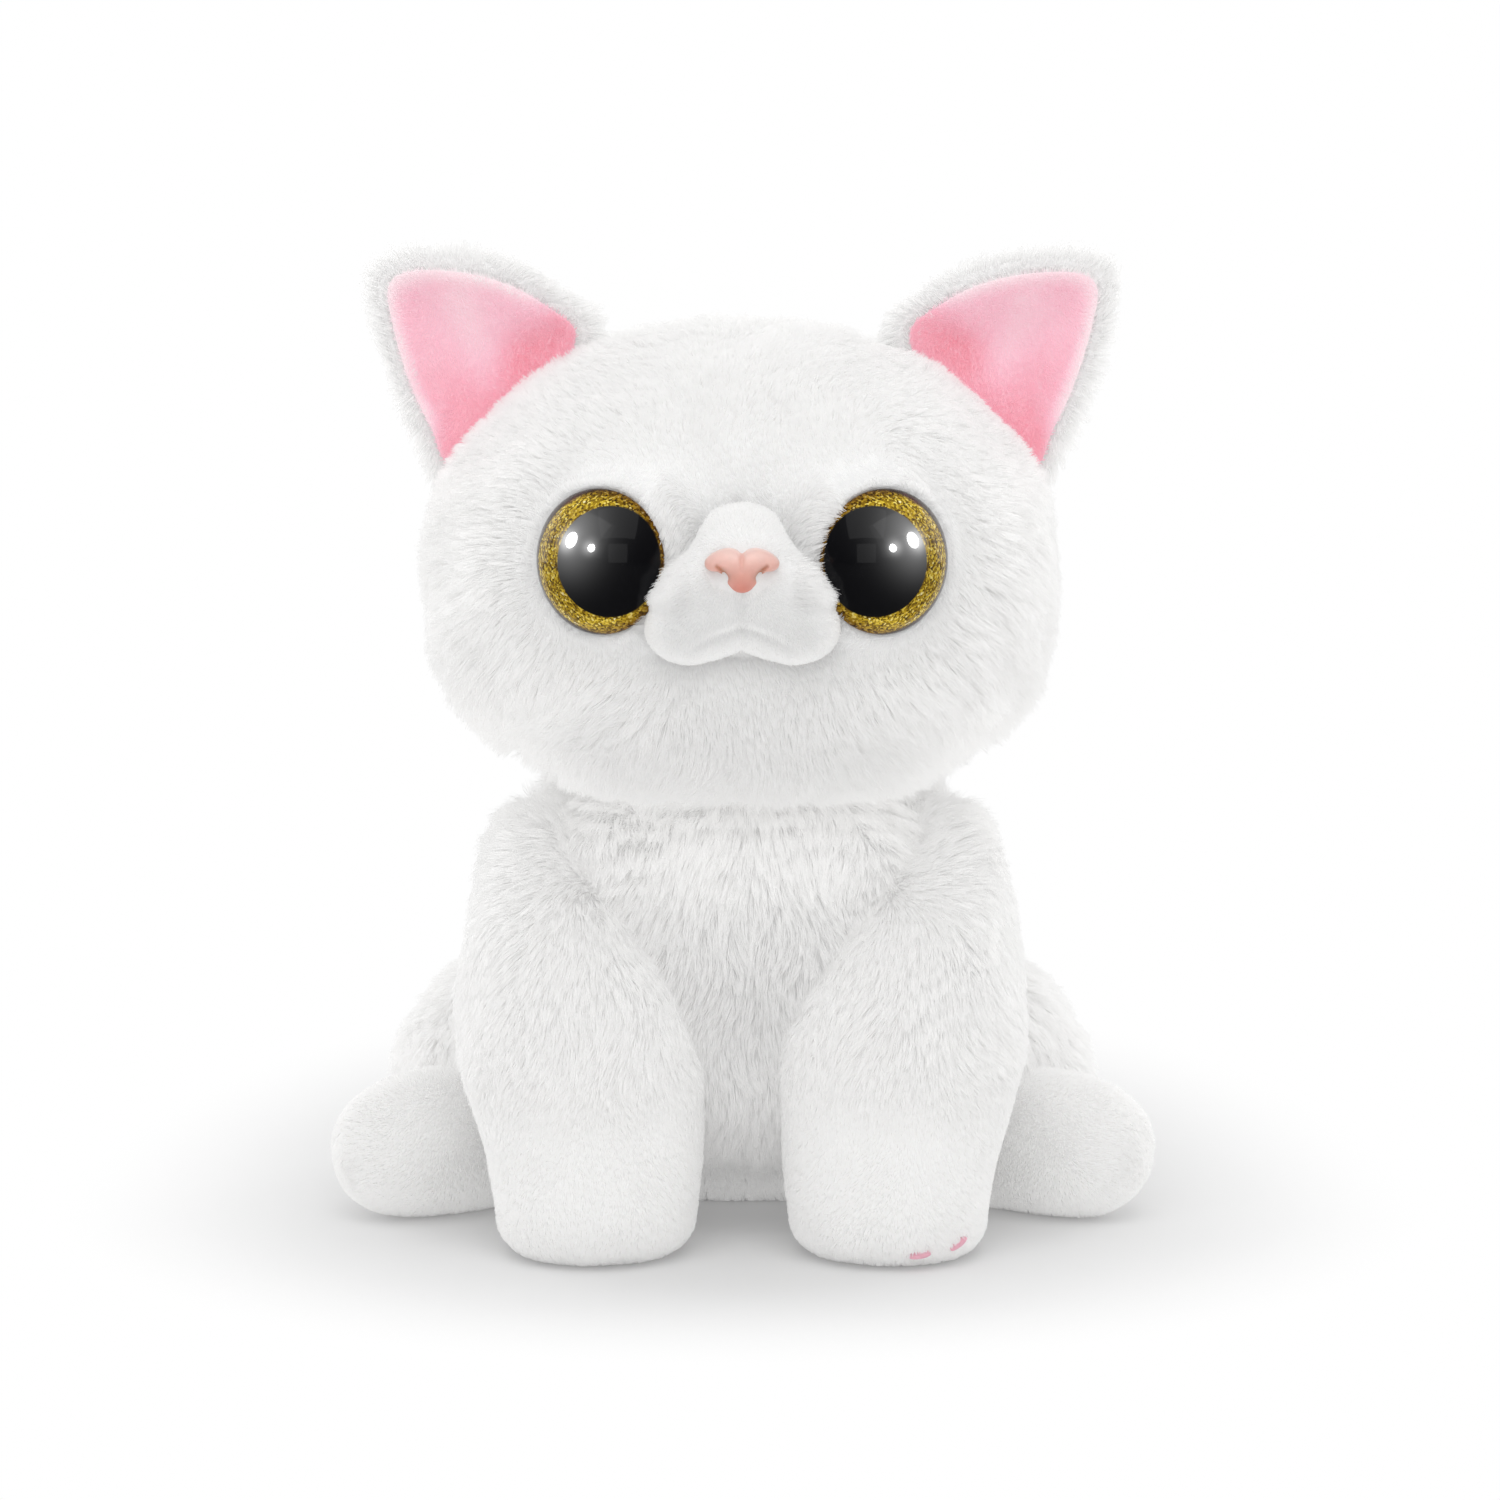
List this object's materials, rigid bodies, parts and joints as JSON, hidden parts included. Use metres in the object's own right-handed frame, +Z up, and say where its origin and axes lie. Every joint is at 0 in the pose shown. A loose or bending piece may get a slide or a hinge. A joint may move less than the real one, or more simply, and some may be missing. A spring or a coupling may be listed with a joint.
{
  "type": "interactive plush pet",
  "caption": "Seated white plush kitten with domed eyes, pink-lined ears, moulded nose, curled tail and a sound module in the base, worked by pressing its mouth or back.",
  "frame": {"origin": "on the floor, at the bottom centre of the bounding box, midway between the legs", "axes": "+Z up, -Y the way the face looks, +X the toy's own left side"},
  "size_m": [0.1582, 0.1494, 0.1864],
  "materials": {
    "long_pile": "long white pile plush",
    "short_pile": "short white velvety pile",
    "pink_lining": "short pink velvety pile",
    "filling": "loose polyester fibre",
    "nose_plastic": "moulded pink",
    "eye_dome": "clear dome over a gold iris and black pupil",
    "black_plastic": "moulded black",
    "washer_plastic": "natural nylon",
    "case_plastic": "moulded off-white, fine texture",
    "steel": "plain steel",
    "magnet": "plated dark",
    "cell_steel": "nickel plated",
    "board": "green solder mask",
    "chip": "black epoxy",
    "cone_paper": "doped paper",
    "cable_sheath": "soft sheath",
    "red_wire": "soft sheath",
    "black_wire": "soft sheath",
    "switch_plastic": "moulded black",
    "button_plastic": "moulded red"
  },
  "bodies": {
    "torso": {"torso_skin": "long_pile", "torso_stuffing": "filling", "haunch_left": "long_pile", "haunch_right": "long_pile", "cable_body": "cable_sheath", "cable_pat": "cable_sheath", "pat_switch_housing": "switch_plastic", "module_case_lower": "case_plastic", "module_case_upper": "case_plastic", "case_screw_1": "steel", "case_screw_2": "steel", "case_screw_3": "steel", "case_screw_4": "steel", "button_cell_1": "cell_steel", "button_cell_2": "cell_steel", "button_cell_3": "cell_steel", "contact_plate": "steel", "contact_spring": "steel", "circuit_board": "board", "sound_chip": "chip", "speaker_frame": "steel", "speaker_magnet": "magnet", "speaker_wire_red": "red_wire", "speaker_wire_black": "black_wire", "power_switch_body": "switch_plastic"},
    "neck": {"neck_core": "filling", "cable_neck": "cable_sheath"},
    "head": {"head_skin": "long_pile", "head_stuffing": "filling", "muzzle": "short_pile", "nose": "nose_plastic", "nose_washer": "washer_plastic", "eye_dome_left": "eye_dome", "eye_dome_right": "eye_dome", "eye_post_left": "black_plastic", "eye_post_right": "black_plastic", "eye_washer_left": "washer_plastic", "eye_washer_right": "washer_plastic", "mouth_switch_housing": "switch_plastic", "cable_head": "cable_sheath"},
    "ear_left": {"ear_back_left": "long_pile", "ear_lining_left": "pink_lining"},
    "ear_right": {"ear_back_right": "long_pile", "ear_lining_right": "pink_lining"},
    "foreleg_left": {"foreleg_left": "long_pile"},
    "foreleg_right": {"foreleg_right": "long_pile"},
    "hind_foot_left": {"hind_foot_left": "short_pile"},
    "hind_foot_right": {"hind_foot_right": "short_pile"},
    "tail": {"tail": "long_pile"},
    "mouth_button": {"mouth_switch_plunger": "button_plastic"},
    "pat_button": {"pat_switch_plunger": "button_plastic"},
    "battery_door": {"battery_door": "case_plastic"},
    "battery_door_screw": {"battery_door_screw": "steel"},
    "speaker_cone": {"speaker_cone": "cone_paper"},
    "power_switch": {"power_switch_knob": "switch_plastic"}
  },
  "joints": [
    {"name": "neck_turn", "type": "hinge", "parent": "torso", "child": "neck", "pos_m": [0, -0.003, 0.0844], "axis": [0, 0, 1], "range_deg": [-20, 20], "stiffness_Nm_per_rad": 0.05},
    {"name": "head_nod", "type": "hinge", "parent": "neck", "child": "head", "pos_m": [0, -0.003, 0.095], "axis": [1, 0, 0], "range_deg": [-8, 8], "stiffness_Nm_per_rad": 1},
    {"name": "foreleg_left_swing", "type": "hinge", "parent": "torso", "child": "foreleg_left", "pos_m": [0.038, -0.013, 0.07], "axis": [-1, 0, 0], "range_deg": [0, 12], "stiffness_Nm_per_rad": 0.1},
    {"name": "foreleg_right_swing", "type": "hinge", "parent": "torso", "child": "foreleg_right", "pos_m": [-0.038, -0.013, 0.07], "axis": [-1, 0, 0], "range_deg": [0, 12], "stiffness_Nm_per_rad": 0.1},
    {"name": "hind_foot_left_spread", "type": "hinge", "parent": "torso", "child": "hind_foot_left", "pos_m": [0.038, 0.011, 0.014], "axis": [0, 0, 1], "range_deg": [-4, 10], "stiffness_Nm_per_rad": 0.05},
    {"name": "hind_foot_right_spread", "type": "hinge", "parent": "torso", "child": "hind_foot_right", "pos_m": [-0.038, 0.011, 0.014], "axis": [0, 0, -1], "range_deg": [-4, 10], "stiffness_Nm_per_rad": 0.05},
    {"name": "tail_swing", "type": "hinge", "parent": "torso", "child": "tail", "pos_m": [0, 0.057, 0.015], "axis": [0, 0, 1], "range_deg": [0, 25], "stiffness_Nm_per_rad": 0.02},
    {"name": "ear_left_fold", "type": "hinge", "parent": "head", "child": "ear_left", "pos_m": [0.0574, -0.004, 0.1434], "axis": [-0.6901, 0, 0.7237], "range_deg": [-10, 20], "stiffness_Nm_per_rad": 0.01},
    {"name": "ear_right_fold", "type": "hinge", "parent": "head", "child": "ear_right", "pos_m": [-0.0574, -0.004, 0.1434], "axis": [-0.6901, 0, -0.7237], "range_deg": [-10, 20], "stiffness_Nm_per_rad": 0.01},
    {"name": "mouth_button_press", "type": "slide", "parent": "head", "child": "mouth_button", "axis": [0, 1, 0], "range_m": [0, 0.0012], "stiffness_N_per_m": 200},
    {"name": "pat_button_press", "type": "slide", "parent": "torso", "child": "pat_button", "axis": [0, -0.9404, -0.3401], "range_m": [0, 0.0009], "stiffness_N_per_m": 200},
    {"name": "battery_door_open", "type": "hinge", "parent": "torso", "child": "battery_door", "pos_m": [-0.0199, 0.026, 0.0007], "axis": [0, 1, 0], "range_deg": [0, 95]},
    {"name": "battery_screw_turn", "type": "hinge", "parent": "battery_door", "child": "battery_door_screw", "pos_m": [0.0046, 0.026, 0], "axis": [0, 0, 1], "continuous": true},
    {"name": "speaker_cone_stroke", "type": "slide", "parent": "torso", "child": "speaker_cone", "axis": [0, 0, 1], "range_m": [-0.0003, 0.0003], "stiffness_N_per_m": 500},
    {"name": "power_switch_slide", "type": "slide", "parent": "torso", "child": "power_switch", "axis": [0, 1, 0], "range_m": [-0.002, 0.002]}
  ]
}
